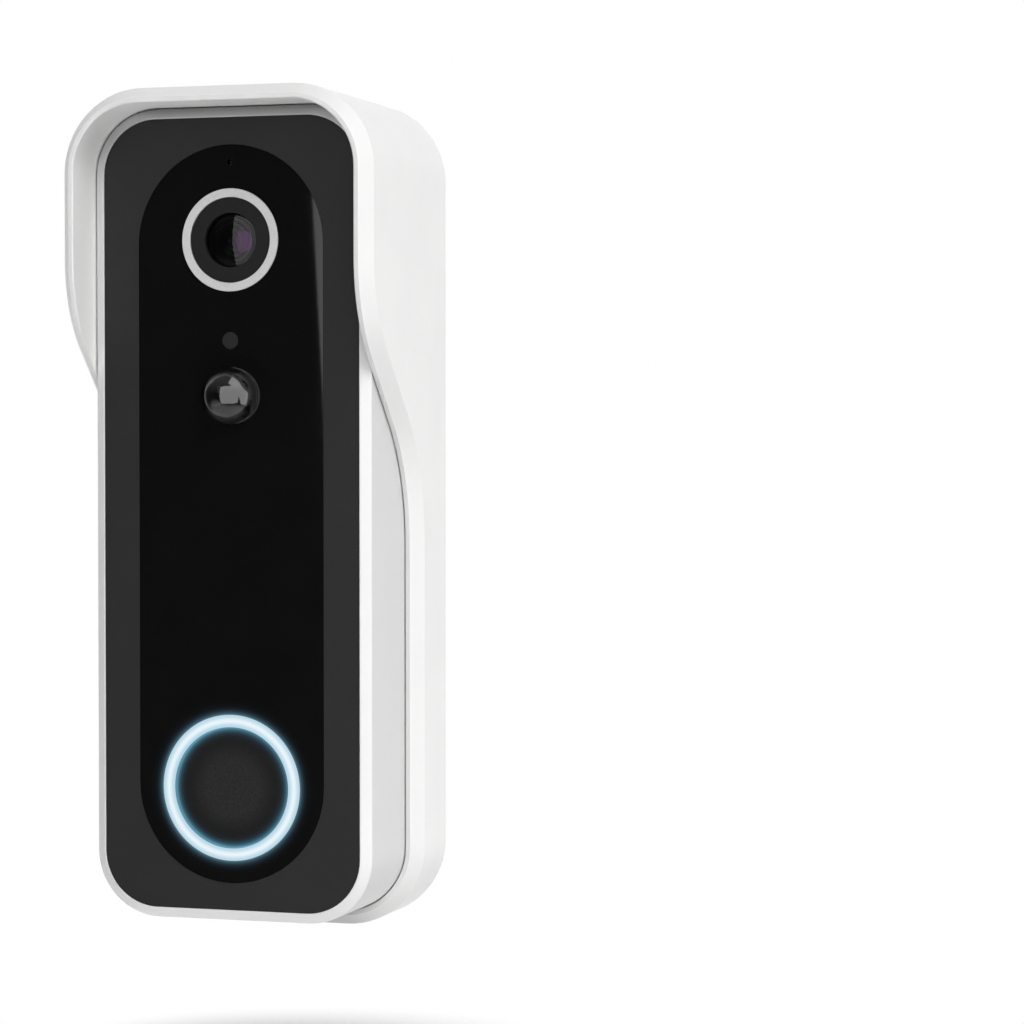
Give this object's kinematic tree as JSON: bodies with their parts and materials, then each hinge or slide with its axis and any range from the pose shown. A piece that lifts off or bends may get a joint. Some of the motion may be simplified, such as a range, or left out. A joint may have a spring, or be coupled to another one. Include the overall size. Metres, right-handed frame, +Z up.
{
  "type": "video doorbell",
  "caption": "Slim upright battery video doorbell with camera, motion sensor and lit bell button, seated in a white rain hood that screws to a wall.",
  "frame": {"origin": "middle of the hood's flat wall face", "axes": "+X to the viewer's right, +Y into the wall, +Z up; the face looks along -Y"},
  "size_m": [0.0554, 0.0408, 0.143],
  "materials": {
    "hood_white": "satin moulded plastic",
    "housing_white": "satin moulded plastic",
    "panel_dark": "matte, fine texture",
    "window_black": "polished dark acrylic",
    "ring_silver": "pale satin paint",
    "bezel_dark": "matte",
    "lens_glass": "coated, clear",
    "barrel_black": "matte black, stepped",
    "guide_smoke": "smoked, satin face",
    "dome_dark": "polished dark dome",
    "light_white": "frosted, lit from behind",
    "cap_dark": "matte, fine texture",
    "flap_rubber": "white silicone",
    "seal_rubber": "dark silicone",
    "board_green": "solder mask",
    "chip_black": "moulded package",
    "shield_metal": "tinned sheet",
    "contact_metal": "plated",
    "screw_steel": "plated",
    "led_clear": "clear resin",
    "battery_wrap": "shrink film",
    "pad_foam": "foam tape",
    "lead_red": "insulated wire",
    "plug_white": "moulded nylon",
    "film_amber": "flexible circuit film",
    "mesh_grey": "woven dust mesh"
  },
  "bodies": {
    "hood": {"rain_hood": "hood_white"},
    "button": {"button_cap": "cap_dark", "switch_plunger": "chip_black"},
    "flap": {"usb_flap": "flap_rubber"},
    "reset": {"reset_key": "flap_rubber"},
    "unit": {"front_housing": "housing_white", "rear_cover": "housing_white", "housing_gasket": "seal_rubber", "front_panel": "panel_dark", "camera_window": "window_black", "lens_ring": "ring_silver", "lens_bezel": "bezel_dark", "front_lens": "lens_glass", "rear_lens": "lens_glass", "lens_barrel": "barrel_black", "lens_holder": "barrel_black", "ir_filter": "lens_glass", "image_sensor": "chip_black", "ir_leds": "led_clear", "ir_led_board": "board_green", "microphone": "shield_metal", "mic_boot": "seal_rubber", "light_sensor": "chip_black", "light_guide": "guide_smoke", "motion_lens": "dome_dark", "motion_sensor": "contact_metal", "motion_spacer": "plug_white", "light_ring": "light_white", "ring_leds": "led_clear", "switch_body": "contact_metal", "main_board": "board_green", "processor": "chip_black", "memory_chip": "chip_black", "wifi_module": "shield_metal", "wifi_antenna": "film_amber", "antenna_cable": "chip_black", "battery_pack": "battery_wrap", "battery_pad": "pad_foam", "battery_plug": "plug_white", "battery_socket": "plug_white", "battery_leads": "lead_red", "speaker": "chip_black", "speaker_mesh": "mesh_grey", "usb_socket": "contact_metal", "reset_switch": "chip_black", "cover_screws": "screw_steel", "board_screws": "screw_steel", "security_screw": "screw_steel"}
  },
  "joints": [
    {"name": "unit_pullout", "type": "slide", "parent": "hood", "child": "unit", "axis": [0, -1, 0], "range_m": [0, 0.04]},
    {"name": "button_press", "type": "slide", "parent": "unit", "child": "button", "axis": [0, 1, 0], "range_m": [0, 0.0008], "stiffness_N_per_m": 2000},
    {"name": "flap_hinge", "type": "hinge", "parent": "unit", "child": "flap", "pos_m": [-0.02485, -0.0226, -0.0165], "axis": [0, 1, 0], "range_deg": [0, 110]},
    {"name": "reset_press", "type": "slide", "parent": "unit", "child": "reset", "axis": [1, 0, 0], "range_m": [0, 0.0005], "stiffness_N_per_m": 1500}
  ]
}
